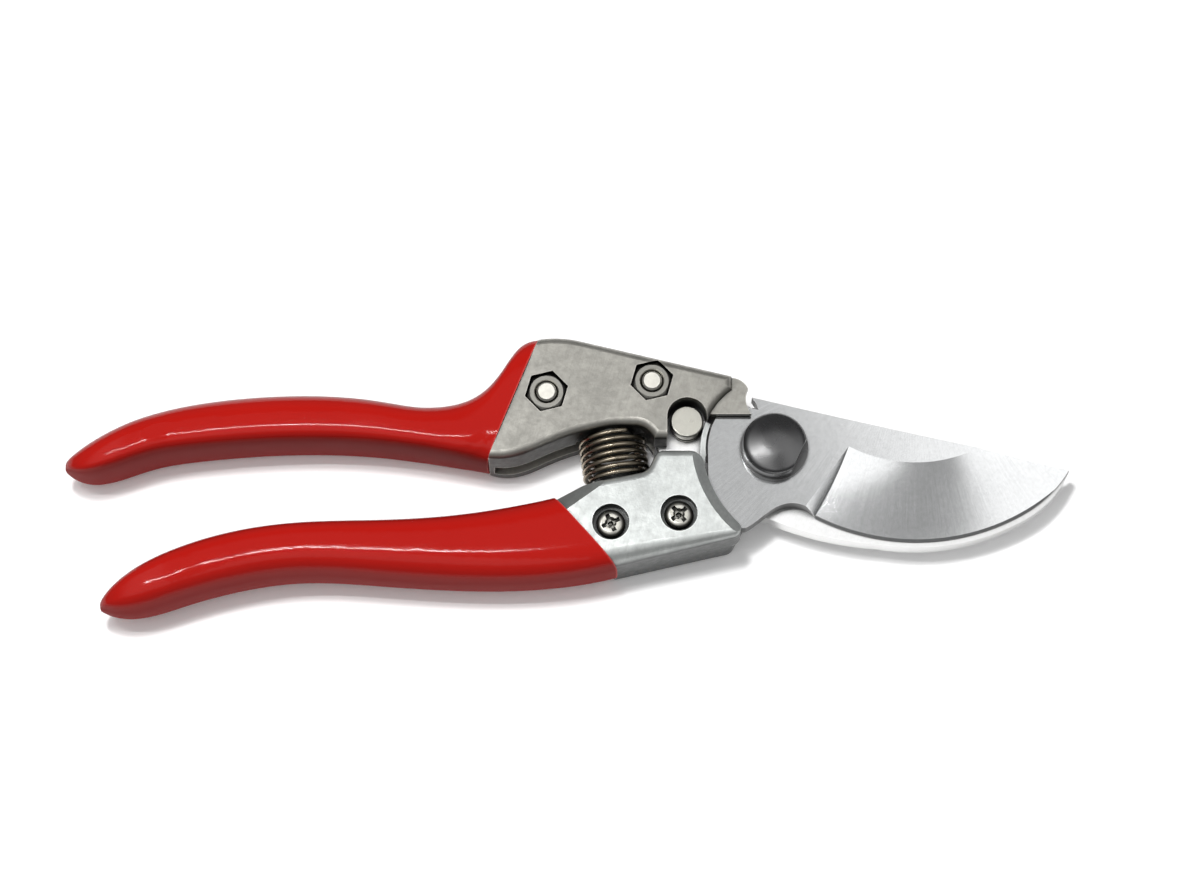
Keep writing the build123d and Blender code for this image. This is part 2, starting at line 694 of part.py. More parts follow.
def make_nut(name, place, bottom, height, across_flats, bore, turn):
    """A hexagon nut with turned rims and a countersunk bore."""
    rim = across_flats / 2 * nut_rim_share
    wide = rim + height / math.tan(math.radians(nut_rim_slope))
    with BuildPart() as nut:
        with BuildSketch(Plane.XY.offset(bottom)):
            with Locations(place):
                RegularPolygon(hexagon_radius(across_flats), 6, rotation=turn)
        extrude(amount=height)
        with Locations((*place, bottom)):
            Cone(rim, wide, height, align=upright, mode=Mode.INTERSECT)
            Cone(wide, rim, height, align=upright, mode=Mode.INTERSECT)
            Cylinder(bore, height, align=upright, mode=Mode.SUBTRACT)
            Cone(bore + bore_sink, bore, bore_sink, align=upright, mode=Mode.SUBTRACT)
        with Locations((*place, bottom + height - bore_sink)):
            Cone(bore, bore + bore_sink, bore_sink, align=upright, mode=Mode.SUBTRACT)
    save(nut, name)


def make_screw(name, place, seat, end, cross_turn):
    """A pan head screw with a cross recess; the end is on the other side of the seat from the head."""
    outward = 1 if end < seat else -1
    crown = seat + outward * pan_head_height
    with BuildPart() as screw:
        with BuildSketch(Plane.XY.offset(end)):
            with Locations(place):
                Circle(screw_radius)
        extrude(amount=abs(seat - end), dir=upward * outward)
        chamfer(screw.edges().group_by(Axis.Z)[0 if outward > 0 else -1], screw_end_chamfer)
        with BuildSketch(Plane.XY.offset(seat)):
            with Locations(place):
                Circle(pan_head_radius)
        extrude(amount=pan_head_height, dir=upward * outward)
        fillet(screw.edges().group_by(Axis.Z)[-1 if outward > 0 else 0], pan_head_round)
        with BuildSketch(Plane.XY.offset(crown)):
            with Locations(place):
                Rectangle(cross_length, cross_width, rotation=cross_turn)
                Rectangle(cross_width, cross_length, rotation=cross_turn)
        extrude(amount=cross_depth, dir=upward * -outward, mode=Mode.SUBTRACT)
        with Locations(Location((*place, crown), (90 - 90 * outward, 0, 0))):
            Cone(pit_end_radius, pit_radius, pit_depth, align=(Align.CENTER, Align.CENTER, Align.MAX),
                 mode=Mode.SUBTRACT)
    save(screw, name)


make_nut("pivot_nut", (0, 0), 0, washer_bottom, pivot_nut_across_flats, pivot_hole_radius, 0)
nut_bore = screw_radius + running_clearance
back_nut_bottom = back_nut_seat - nut_height
fastener_rows = (
    ("counter_blade", upper_screw_places, back_head_seat, front_screw_end, front_nut_seat),
    ("cutting_blade", lower_screw_places, front_head_seat, back_screw_end, back_nut_bottom),
)
for blade, places, head_seat, screw_end, nut_bottom in fastener_rows:
    for index, place in enumerate(places):
        number = index + 1
        make_screw(f"{blade}_screw_{number}", place, head_seat, screw_end, cross_turns[index])
        make_nut(f"{blade}_nut_{number}", place, nut_bottom, nut_height, nut_across_flats, nut_bore, hex_turn)

# Return spring: quarter turns of two arcs each
quarter_turns = round(coil_turns * 4)
coil_plane = Plane(origin=coil_start, x_dir=upward, z_dir=coil_axis)


def coil_place(turn):
    """The middle of the wire and its direction after some turns."""
    angle = math.radians(coil_phase + 360 * turn)
    c = math.cos(angle)
    s = math.sin(angle)
    rise = coil_pitch / (2 * math.pi)
    outward = coil_plane.x_dir * c + coil_plane.y_dir * s
    around = coil_plane.y_dir * c - coil_plane.x_dir * s
    place = coil_start + outward * coil_radius + coil_axis * (coil_pitch * turn)
    return place, (around * coil_radius + coil_axis * rise).normalized()


def joint_of_arcs(start, start_heading, end, end_heading):
    """The point where two arcs of equal reach meet."""
    across = end - start
    square = 2 * (1 - start_heading.dot(end_heading))
    straight = 2 * across.dot(start_heading + end_heading)
    reach = (-straight + math.sqrt(straight**2 + 4 * square * across.dot(across))) / (2 * square)
    return (start + start_heading * reach + end - end_heading * reach) * 0.5


with BuildPart() as return_spring:
    with BuildLine() as coil:
        for quarter in range(quarter_turns):
            start, start_heading = coil_place(quarter / 4)
            end, end_heading = coil_place((quarter + 1) / 4)
            joint = joint_of_arcs(start, start_heading, end, end_heading)
            first = TangentArc(start, joint, tangent=start_heading)
            TangentArc(joint, end, tangent=first % 1)
    with BuildSketch(Plane(origin=coil_place(0)[0], z_dir=coil_place(0)[1])):
        Circle(wire_radius)
    sweep(path=coil.wires()[0])
save(return_spring, "return_spring")

samples_per_turn = 60
sample_count = int(coil_turns * samples_per_turn) + 1
coil_samples = [coil_place(step / samples_per_turn)[0] for step in range(sample_count)]
least = min(
    (a - b).length
    for place, a in enumerate(coil_samples)
    for b in coil_samples[place + samples_per_turn // 2:]
)
print(f"least gap of the spring to itself: {least - 2 * wire_radius:.3f} mm")

# Lock button and its ring
with BuildPart() as lock_button:
    with BuildSketch(Plane.XY.offset(lock_bottom)):
        with Locations(lock_place):
            Circle(lock_radius)
    extrude(amount=lock_top - lock_bottom)
    fillet(lock_button.edges().group_by(Axis.Z)[-1], lock_edge_round)
    fillet(lock_button.edges().group_by(Axis.Z)[0], lock_edge_round)
    with BuildSketch(Plane.XY.offset(ring_height - ring_groove_half)):
        with Locations(lock_place):
            Circle(lock_radius)
            Circle(ring_groove_radius, mode=Mode.SUBTRACT)
    extrude(amount=2 * ring_groove_half, mode=Mode.SUBTRACT)
save(lock_button, "lock_button")

with BuildPart() as lock_o_ring:
    with Locations((*lock_place, ring_height)):
        Torus(ring_groove_radius + ring_section_radius, ring_section_radius)
save(lock_o_ring, "lock_o_ring")
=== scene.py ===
"""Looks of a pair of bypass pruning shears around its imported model, as an add-on that is run as a script."""
import math

import bmesh
import bpy
from bpy.props import FloatProperty, FloatVectorProperty, IntProperty, PointerProperty
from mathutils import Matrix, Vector
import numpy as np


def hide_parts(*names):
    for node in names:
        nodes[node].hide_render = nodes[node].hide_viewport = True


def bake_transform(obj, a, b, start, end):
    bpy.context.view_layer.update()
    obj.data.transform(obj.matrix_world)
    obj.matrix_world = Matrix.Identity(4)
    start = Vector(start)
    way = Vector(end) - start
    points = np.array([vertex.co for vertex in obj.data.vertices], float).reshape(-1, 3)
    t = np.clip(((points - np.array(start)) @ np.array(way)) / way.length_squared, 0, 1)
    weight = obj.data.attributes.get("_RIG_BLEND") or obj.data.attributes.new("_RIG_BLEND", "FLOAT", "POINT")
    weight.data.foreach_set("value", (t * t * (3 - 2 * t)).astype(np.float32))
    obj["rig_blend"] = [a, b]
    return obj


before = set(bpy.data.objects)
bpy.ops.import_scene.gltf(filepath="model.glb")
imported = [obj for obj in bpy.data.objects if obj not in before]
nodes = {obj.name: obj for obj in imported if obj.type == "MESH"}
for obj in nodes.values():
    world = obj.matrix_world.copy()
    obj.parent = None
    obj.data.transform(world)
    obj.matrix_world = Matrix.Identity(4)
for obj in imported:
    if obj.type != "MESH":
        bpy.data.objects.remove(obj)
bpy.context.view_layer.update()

bl_info = {
    "name": "Pruning Shears Looks",
    "version": (1, 0, 0),
    "blender": (4, 5, 0),
    "location": "View3D > Sidebar > Shears",
    "description": "Finishes, spring and studio for a pair of bypass pruning shears",
    "category": "Object",
}

MM = 0.001

# Lightness of what is seen on each metal, as a share of its own colour; the edges are a painted highlight
CASTING_TONES = {"skin": 1.08, "pits": 0.84, "scratches": 0.7, "stains": 0.68, "edges": 1.5}
STEEL_TONES = {"hollows": 0.92, "ridges": 1.05, "mottle": 0.8, "edges": 1.25}
PLATED_TONES = {"skin": 1.15, "mottle": 0.7, "edges": 1.4}

# Painted shade: the dark colour laid into gaps and recesses, where shade falls
GAP_SHADE = (0.012, 0.012, 0.011)

# Where most of a noise lies
NOISE_SPAN = (0.3, 0.7)

# Heights of directions in the studio: the lowest that counts, and where the walls fade into the ceiling
LOWEST = 0.05
DOME_FADE = (0.55, 0.86)

# Places on the ceiling as if it hung at height 1: where it fades along Y, and its slanted gap
FAR_FADE = (0.38, 0.55)
NEAR_FADE = (-0.95, -0.55)
GAP_ACROSS = (0.927, 0.375, 0.0)
GAP_MIDDLE = 0.0555
GAP_EDGE = (0.134, 0.146)
GAP_NEAR_TO_FAR = (0.05, 0.25)

# Sockets of a mix node that take and give colours
COLOUR_A, COLOUR_B, COLOUR_RESULT = 6, 7, 2


def colour(name, description, default):
    """A colour property."""
    return FloatVectorProperty(name=name, description=description, subtype="COLOR", size=3, min=0, max=1,
                               default=default)


def share(name, description, default):
    """A property between 0 and 1."""
    return FloatProperty(name=name, description=description, subtype="FACTOR", min=0, max=1, default=default)


def length(name, description, default):
    """A length in metres."""
    return FloatProperty(name=name, description=description, subtype="DISTANCE", unit="LENGTH", precision=6,
                         default=default)


def point(name, description, default):
    """A point in metres."""
    return FloatVectorProperty(name=name, description=description, subtype="TRANSLATION", unit="LENGTH",
                               precision=5, size=3, default=default)


def angle(name, description, degrees):
    """An angle with its default in degrees."""
    return FloatProperty(name=name, description=description, subtype="ANGLE", default=math.radians(degrees))


def watts(name, description, default):
    """Power of a lamp."""
    return FloatProperty(name=name, description=description, subtype="POWER", default=default)


class GripLooks(bpy.types.PropertyGroup):
    """Red vinyl dipped over the handles."""

    vinyl: colour("Vinyl", "Colour of the dipped vinyl", (0.41, 0.010, 0.0065))
    vinyl_deep: colour("Deep vinyl", "Colour where the dip is thick", (0.37, 0.008, 0.0055))
    # Painted shade: the rounded sides are painted a darker red than the top
    vinyl_shaded_side: colour("Sides of the vinyl", "Colour on the rounded sides, where the dip is deepest",
                       (0.25, 0.010, 0.008))
    # Painted highlight: the thin edge of the dip is painted paler
    vinyl_edge_highlight: colour("Edge of the vinyl", "Colour of the thin edge of the dip", (0.62, 0.12, 0.11))
    specular: share("Specular", "Specular level of the vinyl", 0.16)
    roughness: share("Roughness", "Roughness of the vinyl", 0.08)
    smear_dullness: share("Dull smears", "What smears add to the roughness", 0.05)
    side_dullness: share("Dull sides", "What the rounded sides add to the roughness", 0.6)


class CastingLooks(bpy.types.PropertyGroup):
    """Tumbled castings."""

    upper: colour("Upper casting", "Metal of the upper casting", (0.385, 0.375, 0.342))
    lower: colour("Lower casting", "Metal of the lower casting", (0.645, 0.67, 0.655))
    upper_roughness: share("Upper roughness", "Roughness of the upper casting", 0.4)
    lower_roughness: share("Lower roughness", "Roughness of the lower casting", 0.36)
    metallic: share("Metallic", "How far the castings' dull skin is bare metal", 0.8)
    # Painted shade: the castings' upright sides are painted darker than their faces
    side_shade_share: share("Sides", "Lightness of the castings' sides, as a share of their faces", 0.14)
    pit_depth: length("Skin depth", "Depth of the skin's fine grain", 0.04 * MM)
    # Painted shade gathers in the castings' gaps, within this reach of another surface
    shade_reach: length("Gap shade", "How near another surface is where grime gathers", 3 * MM)


class BladeLooks(bpy.types.PropertyGroup):
    """Ground steel."""

    steel: colour("Steel", "Metal of the cutting blade", (0.86, 0.87, 0.875))
    # Painted shade: the cutting blade's upright sides are painted darker than its faces
    side_shade_share: share("Sides", "Lightness of the cutting blade's sides, as a share of its faces", 0.06)
    flat_roughness: share("Flat roughness", "Roughness of the cutting blade's flat sides", 0.09)
    grind_roughness: share("Grind roughness", "Roughness of the hollow ground face", 0.13)
    # Painted shade gathers in the cutting blade's gaps, within this reach of another surface
    shade_reach: length("Gap shade", "How near another surface is where grime gathers on the cutting blade",
                        1.2 * MM)
    counter_steel: colour("Counter blade steel", "Metal of the counter blade", (1.0, 1.0, 0.99))
    # Painted shade: the counter blade's upright sides are painted darker than its faces
    counter_side_shade_share: share("Counter blade sides",
                              "Lightness of the counter blade's sides, as a share of its faces", 0.8)
    counter_flat_roughness: share("Counter blade flats", "Roughness of the counter blade's flat sides", 0.28)
    counter_grind_roughness: share("Counter blade slopes",
                                   "Roughness of the counter blade's sloped faces", 0.22)
    # Painted shade gathers in the counter blade's gaps, within this reach of another surface
    counter_shade_reach: length("Counter blade grime",
                                "How near another surface is where grime gathers on the counter blade",
                                2 * MM)
    edge_centre: point("Edge centre", "Centre of the cutting edge's circle",
                       (28.2 * MM, 24.9 * MM, 11.2 * MM))
    line_depth: length("Line depth", "Depth of the grinding lines", 0.004 * MM)
    line_dullness: share("Dull lines", "What the grinding lines add to the roughness", 0.04)
    smear_dullness: share("Dull smears", "What smears add to the roughness", 0.03)


class HardwareLooks(bpy.types.PropertyGroup):
    """Screws, nuts, pivot and lock."""

    zinc: colour("Zinc", "Plating of the nuts", (0.35, 0.343, 0.312))
    pivot_zinc: colour("Pivot zinc", "Plating of the pivot's nut and washer", (0.28, 0.2744, 0.2496))
    screw_zinc: colour("Screw zinc", "Plating of the cutting blade's screws", (0.595, 0.5831, 0.5304))
    bright_zinc: colour("Bright zinc", "Plating of the counter blade's screws", (0.84, 0.8232, 0.7488))
    black: colour("Blackened steel", "Finish of the pivot bolt", (0.005, 0.005, 0.0055))
    black_mottle: colour("Mottled black", "Paler spots in the pivot bolt's finish", (0.011, 0.011, 0.0121))
    # Painted highlight: the pivot bolt's edges are painted grey
    black_edge_highlight: colour("Rubbed black", "Colour of the pivot bolt's rubbed edges", (0.06, 0.06, 0.06))
    turned: colour("Turned steel", "Metal of the lock button", (0.60, 0.59, 0.53))
    rubber: colour("Rubber", "Colour of the lock's ring", (0.012, 0.012, 0.012))
    rubber_dust: colour("Dusty rubber", "Colour of the ring's paler spots", (0.03, 0.03, 0.03))


class SpringLooks(bpy.types.PropertyGroup):
    """Coil between the handles."""

    wire_radius: length("Wire radius", "Radius of the spring's wire", 0.475 * MM)
    coil_radius: length("Coil radius", "Radius at the middle of the wire", 6.3 * MM)
    pitch: length("Pitch", "Rise of one turn", 1.4 * MM)
    turns: FloatProperty(name="Turns", description="Number of turns", default=6.25)
    lean: angle("Lean", "Lean of the coil from Y towards the grips", 8)
    start: angle("Start", "Place of the wire's first end round the coil, from the top", -60)
    foot: point("Foot", "Middle of the coil's lower end", (-31.3 * MM, -5.8 * MM, 7.6 * MM))
    steps: IntProperty(name="Steps", description="Sections in one turn", default=72)
    sides: IntProperty(name="Sides", description="Sides of the wire", default=18)
    steel: colour("Steel", "Dark oiled wire", (0.42, 0.365, 0.28))


class StudioLooks(bpy.types.PropertyGroup):
    """Floor, light and camera."""

    floor: colour("Floor", "Colour of the floor", (0.95, 0.95, 0.95))
    floor_mottle: colour("Floor mottle", "Colour of the floor's faint mottle", (0.9405, 0.9405, 0.9405))
    floor_glow: colour("Floor glow", "What camera, mirrors and glass see added, to show the floor white",
                       (0.07, 0.07, 0.07))
    floor_reach: length("Floor reach", "From the middle of the floor to its sides", 3.0)
    floor_drop: length("Floor drop", "How far the floor lies below the shears", 0.2 * MM)
    ceiling: FloatProperty(name="Ceiling", description="Light of the white ceiling", default=1.2)
    walls: FloatProperty(name="Walls", description="Light of the walls near the floor", default=0.14)
    gap: share("Gap", "Light in the gap of the ceiling that the blade mirrors, as a share", 0.42)
    near_gap: share("Near gap", "Light at the near end of the gap, as a share", 0.27)
    far_side: share("Far side", "Light of the ceiling far behind the shears, as a share", 0.08)
    near_side: share("Near side", "Light of the ceiling far in front of the shears, as a share", 0.25)
    strip_light: watts("Strip light", "Power of the strip over the grips", 1.8)
    strip_place: point("Strip place", "Middle of the strip", (-0.24, 0.07, 0.8))
    strip_length: length("Strip length", "Length of the strip", 0.36)
    strip_width: length("Strip width", "Width of the strip", 0.014)
    key_light: watts("Key light", "Power of the lamp that throws the shadow", 3.85)
    key_place: point("Key place", "Middle of the lamp that throws the shadow", (-0.15, 0.15, 0.8))
    key_side: length("Key size", "Side of the lamp that throws the shadow", 0.09)
    elevation: angle("Elevation", "Camera angle above the floor", 73)
    distance: length("Distance", "Distance of the camera", 0.656)
    aim: point("Aim", "Point in the middle of the picture", (-36.7 * MM, 1.15 * MM, 11.2 * MM))
    lens: FloatProperty(name="Lens", description="Focal length", subtype="DISTANCE_CAMERA", default=100)


def feed(tree, node, inputs):
    """Set a node's inputs, or link them where a socket is given."""
    for key, value in inputs.items():
        if isinstance(value, bpy.types.NodeSocket):
            tree.links.new(value, node.inputs[key])
        else:
            node.inputs[key].default_value = value


def put(tree, kind, inputs=None, **settings):
    """Add a shader node with its settings and inputs."""
    node = tree.nodes.new(kind)
    for key, value in settings.items():
        setattr(node, key, value)
    feed(tree, node, inputs or {})
    return node


def reckon(tree, operation, *values):
    """One step of arithmetic on numbers or sockets."""
    return put(tree, "ShaderNodeMath", dict(enumerate(values)), operation=operation).outputs[0]


def spread(tree, value, from_range=(0.0, 1.0), to_range=(0.0, 1.0), smooth=False):
    """A value carried from one range to another, with soft ends where it is smooth."""
    ends = dict(zip(("From Min", "From Max", "To Min", "To Max"), (*from_range, *to_range)))
    return put(tree, "ShaderNodeMapRange", {"Value": value, **ends},
               interpolation_type="SMOOTHSTEP" if smooth else "LINEAR").outputs[0]


def blend_colours(tree, share_of_second, first, second):
    """A mix of two colours, each an RGB triple or a socket."""
    pair = {key: value if isinstance(value, bpy.types.NodeSocket) else (*value, 1.0)
            for key, value in ((COLOUR_A, first), (COLOUR_B, second))}
    mix = put(tree, "ShaderNodeMix", {"Factor": share_of_second, **pair}, data_type="RGBA")
    return mix.outputs[COLOUR_RESULT]


def effect(name, inputs, outputs):
    """A shader node group with named sockets: the group, its input node and its output node."""
    group = bpy.data.node_groups.new(name, "ShaderNodeTree")
    for label, default in inputs.items():
        kind = "NodeSocketVector" if isinstance(default, tuple) else "NodeSocketFloat"
        group.interface.new_socket(label, in_out="INPUT", socket_type=kind).default_value = default
    for label in outputs:
        group.interface.new_socket(label, in_out="OUTPUT", socket_type="NodeSocketFloat")
    return group, put(group, "NodeGroupInput"), put(group, "NodeGroupOutput")


def once(make):
    """Build a node group at its first use and hand out the same one afterwards."""
    def group():
        return bpy.data.node_groups.get(make.__name__) or make(make.__name__)
    return group


@once
def lit_edges(name):
    """Where an edge gets a painted highlight: 1 on the edge and 0 away from it."""
    group, given, result = effect(name, {"Radius": 0.0004, "Spread": 0.3}, ["Mask"])
    rounded = put(group, "ShaderNodeBevel", {"Radius": given.outputs["Radius"]}, samples=6)
    plain = put(group, "ShaderNodeNewGeometry")
    likeness = put(group, "ShaderNodeVectorMath", {0: rounded.outputs[0], 1: plain.outputs["Normal"]},
                   operation="DOT_PRODUCT")
    away = reckon(group, "SUBTRACT", 1.0, likeness.outputs["Value"])
    feed(group, result, {"Mask": spread(group, away, from_range=(0.01, given.outputs["Spread"]))})
    return group


@once
def fine_grain(name):
    """An even grain: a height for bumps and a slower mottle."""
    group, given, result = effect(name, {"Grain": 2500.0, "Mottle": 160.0}, ["Height", "Mottle"])
    place = put(group, "ShaderNodeTexCoord").outputs["Object"]
    grain = put(group, "ShaderNodeTexNoise", {"Vector": place, "Scale": given.outputs["Grain"],
                                              "Detail": 3.0, "Roughness": 0.6})
    mottle = put(group, "ShaderNodeTexNoise", {"Vector": place, "Scale": given.outputs["Mottle"],
                                               "Detail": 5.0, "Roughness": 0.65})
    feed(group, result, {"Height": grain.outputs["Fac"], "Mottle": mottle.outputs["Fac"]})
    return group


@once
def ground_lines(name):
    """Fine parallel lines of a grinding belt: across the given direction."""
    group, given, result = effect(name, {"Turn": (0.0, 0.0, 0.0), "Lines": (2600.0, 60.0, 60.0)}, ["Lines"])
    place = put(group, "ShaderNodeTexCoord").outputs["Object"]
    turned = put(group, "ShaderNodeVectorRotate", {"Vector": place, "Rotation": given.outputs["Turn"]},
                 rotation_type="EULER_XYZ")
    stretched = put(group, "ShaderNodeVectorMath", {0: turned.outputs[0], 1: given.outputs["Lines"]},
                    operation="MULTIPLY")
    noise = put(group, "ShaderNodeTexNoise", {"Vector": stretched.outputs[0], "Scale": 1.0, "Detail": 3.0})
    feed(group, result, {"Lines": noise.outputs["Fac"]})
    return group


@once
def wheel_lines(name):
    """Fine lines that a grinding wheel leaves: they run out from the centre of the edge's circle."""
    group, given, result = effect(name, {"Centre": (0.0, 0.0, 0.0), "Around": 330.0, "Out": 70.0}, ["Lines"])
    place = put(group, "ShaderNodeTexCoord").outputs["Object"]
    arm = put(group, "ShaderNodeVectorMath", {0: place, 1: given.outputs["Centre"]}, operation="SUBTRACT")
    parts = put(group, "ShaderNodeSeparateXYZ", {0: arm.outputs[0]})
    bearing = reckon(group, "ARCTAN2", parts.outputs["X"], parts.outputs["Y"])
    distance = put(group, "ShaderNodeVectorMath", {0: arm.outputs[0]}, operation="LENGTH")
    around = reckon(group, "MULTIPLY", bearing, given.outputs["Around"])
    out = reckon(group, "MULTIPLY", distance.outputs["Value"], given.outputs["Out"])
    spot = put(group, "ShaderNodeCombineXYZ", {"X": around, "Y": out})
    noise = put(group, "ShaderNodeTexNoise", {"Vector": spot.outputs[0], "Scale": 1.0, "Detail": 3.0})
    feed(group, result, {"Lines": noise.outputs["Fac"]})
    return group


@once
def hand_marks(name):
    """Slow smears and stains on a handled surface."""
    group, given, result = effect(name, {"Size": 45.0, "Amount": 0.5}, ["Smear"])
    place = put(group, "ShaderNodeTexCoord").outputs["Object"]
    noise = put(group, "ShaderNodeTexNoise", {"Vector": place, "Scale": given.outputs["Size"],
                                              "Detail": 4.0, "Distortion": 0.6})
    smear = spread(group, noise.outputs["Fac"], from_range=(0.42, 0.72),
                   to_range=(0.0, given.outputs["Amount"]))
    feed(group, result, {"Smear": smear})
    return group


@once
def recess_shade(name):
    """Mask for painted shade where a surface is shut in by others: 1 deep in a gap and 0 in the open."""
    group, given, result = effect(name, {"Reach": 0.002, "Open": 0.8, "Shut": 0.35}, ["Mask"])
    free = put(group, "ShaderNodeAmbientOcclusion", {"Distance": given.outputs["Reach"]}, samples=8)
    mask = spread(group, free.outputs["AO"], from_range=(given.outputs["Open"], given.outputs["Shut"]))
    feed(group, result, {"Mask": mask})
    return group


def finish(name):
    """A new material with its node tree and its principled shader."""
    material = bpy.data.materials.new(name)
    material.use_nodes = True
    tree = material.node_tree
    return material, tree, tree.nodes["Principled BSDF"]


def group_in(tree, group, inputs):
    """Place a node group in a material."""
    return put(tree, "ShaderNodeGroup", inputs, node_tree=group())


def sideways(tree, steep, level):
    """1 on faces that stand upright, 0 on broad faces: between two shares of the normal's height."""
    facing = put(tree, "ShaderNodeNewGeometry")
    parts = put(tree, "ShaderNodeSeparateXYZ", {0: facing.outputs["Normal"]})
    flatness = reckon(tree, "ABSOLUTE", parts.outputs["Z"])
    return spread(tree, flatness, from_range=(steep, level), to_range=(1.0, 0.0))


def gap_shaded(tree, skin, reach, amount=0.9, shut=0.35):
    """A colour with painted shade: it turns dark in the gaps."""
    shade = group_in(tree, recess_shade, {"Reach": reach, "Shut": shut})
    return blend_colours(tree, spread(tree, shade.outputs["Mask"], to_range=(0.0, amount)), skin, GAP_SHADE)


def tinted(rgb, factor):
    """A colour made darker or lighter."""
    return tuple(min(1.0, part * factor) for part in rgb)


def toned(metal, tones):
    """A metal's colour in each of its tones."""
    return {part: tinted(metal, lightness) for part, lightness in tones.items()}


def uneven(tree, mottle, roughness, less, more):
    """A roughness that follows a mottle, from a little less to a little more."""
    return spread(tree, mottle, from_range=NOISE_SPAN, to_range=(roughness - less, roughness + more))


def bump(tree, height, depth, strength):
    """A normal with bumps of a real depth in metres."""
    return put(tree, "ShaderNodeBump", {"Height": height, "Distance": depth, "Strength": strength}).outputs[0]


def vinyl_finish(looks):
    """Glossy dipped vinyl, with painted shade and more roughness on its rounded sides, and a painted highlight
    at the thin edge of the dip.
    """
    material, tree, shader = finish("red_vinyl")
    grain = group_in(tree, fine_grain, {"Grain": 420.0, "Mottle": 60.0})
    smear = group_in(tree, hand_marks, {"Size": 60.0, "Amount": 0.5})
    edge = group_in(tree, lit_edges, {"Radius": 0.6 * MM, "Spread": 0.3})
    body = blend_colours(tree, grain.outputs["Mottle"], looks.vinyl, looks.vinyl_deep)
    # Painted shade on the rounded sides
    side_shaded = blend_colours(tree, sideways(tree, steep=0.45, level=0.98), body, looks.vinyl_shaded_side)
    # Painted highlight at the thin edge of the dip
    edge_highlit = blend_colours(tree, edge.outputs["Mask"], side_shaded, looks.vinyl_edge_highlight)
    smeared = spread(tree, smear.outputs["Smear"],
                     to_range=(looks.roughness, looks.roughness + looks.smear_dullness))
    dulled = reckon(tree, "MULTIPLY_ADD", sideways(tree, steep=0.2, level=0.7), looks.side_dullness, smeared)
    feed(tree, shader, {"Base Color": edge_highlit, "Roughness": dulled, "Specular IOR Level": looks.specular})
    return material


def casting_finish(name, looks, metal, roughness):
    """Tumbled casting: a finely pitted and stained skin, painted highlights on its edges, painted shade on its
    sides and painted shade in its gaps.
    """
    material, tree, shader = finish(name)
    tone = toned(metal, CASTING_TONES)
    grain = group_in(tree, fine_grain, {"Grain": 1500.0, "Mottle": 700.0})
    scratch = group_in(tree, ground_lines, {"Turn": (0.0, 0.0, 0.3), "Lines": (2600.0, 260.0, 260.0)})
    stain = group_in(tree, hand_marks, {"Size": 170.0, "Amount": 0.6})
    edge = group_in(tree, lit_edges, {"Radius": 0.5 * MM, "Spread": 0.35})
    pits = spread(tree, grain.outputs["Mottle"], from_range=(0.35, 0.7))
    pitted = blend_colours(tree, pits, tone["skin"], tone["pits"])
    scratches = spread(tree, scratch.outputs["Lines"], from_range=(0.5, 0.75), to_range=(0.0, 0.35))
    scored = blend_colours(tree, scratches, pitted, tone["scratches"])
    stained = blend_colours(tree, stain.outputs["Smear"], scored, tone["stains"])
    # Painted shade on the upright sides
    sides = sideways(tree, steep=0.2, level=0.7)
    side_shaded = blend_colours(tree, sides, stained, tinted(metal, looks.side_shade_share))
    # Painted highlight on the edges
    highlit = blend_colours(tree, edge.outputs["Mask"], side_shaded, tone["edges"])
    feed(tree, shader, {
        # Painted shade in the gaps
        "Base Color": gap_shaded(tree, highlit, looks.shade_reach),
        "Metallic": looks.metallic,
        "Roughness": uneven(tree, grain.outputs["Mottle"], roughness, less=0.06, more=0.1),
        "Normal": bump(tree, grain.outputs["Height"], looks.pit_depth, strength=0.6),
    })
    return material


def steel_finish(name, looks, metal, side_shade_share, shade_reach, flat_roughness, grind_roughness):
    """Ground steel: lines of the wheel, one roughness for flats and one for slopes, painted shade on its sides
    and in its gaps, and painted highlights on its edges.
    """
    material, tree, shader = finish(name)
    tone = toned(metal, STEEL_TONES)
    lines = group_in(tree, wheel_lines, {"Centre": looks.edge_centre})
    grain = group_in(tree, fine_grain, {"Grain": 2600.0, "Mottle": 1300.0})
    smear = group_in(tree, hand_marks, {"Size": 70.0, "Amount": 0.5})
    edge = group_in(tree, lit_edges, {"Radius": 0.3 * MM, "Spread": 0.3})
    facing = put(tree, "ShaderNodeNewGeometry")
    parts = put(tree, "ShaderNodeSeparateXYZ", {0: facing.outputs["Normal"]})
    ground = spread(tree, parts.outputs["Z"], from_range=(0.985, 0.998),
                    to_range=(grind_roughness, flat_roughness))
    streaked = reckon(tree, "MULTIPLY_ADD", lines.outputs["Lines"], looks.line_dullness, ground)
    smeared = reckon(tree, "MULTIPLY_ADD", smear.outputs["Smear"], looks.smear_dullness, streaked)
    lined = blend_colours(tree, spread(tree, lines.outputs["Lines"], from_range=NOISE_SPAN), tone["hollows"],
                          tone["ridges"])
    spots = spread(tree, grain.outputs["Mottle"], from_range=(0.4, 0.75), to_range=(0.0, 0.5))
    mottled = blend_colours(tree, spots, lined, tone["mottle"])
    # Painted shade on the upright sides
    side_shaded = blend_colours(tree, sideways(tree, steep=0.25, level=0.6), mottled, tinted(metal, side_shade_share))
    # Painted highlight on the edges
    highlit = blend_colours(tree, edge.outputs["Mask"], side_shaded, tone["edges"])
    feed(tree, shader, {
        "Base Color": gap_shaded(tree, highlit, shade_reach),
        "Metallic": 1.0,
        "Roughness": smeared,
        "Normal": bump(tree, lines.outputs["Lines"], looks.line_depth, strength=0.4),
    })
    return material


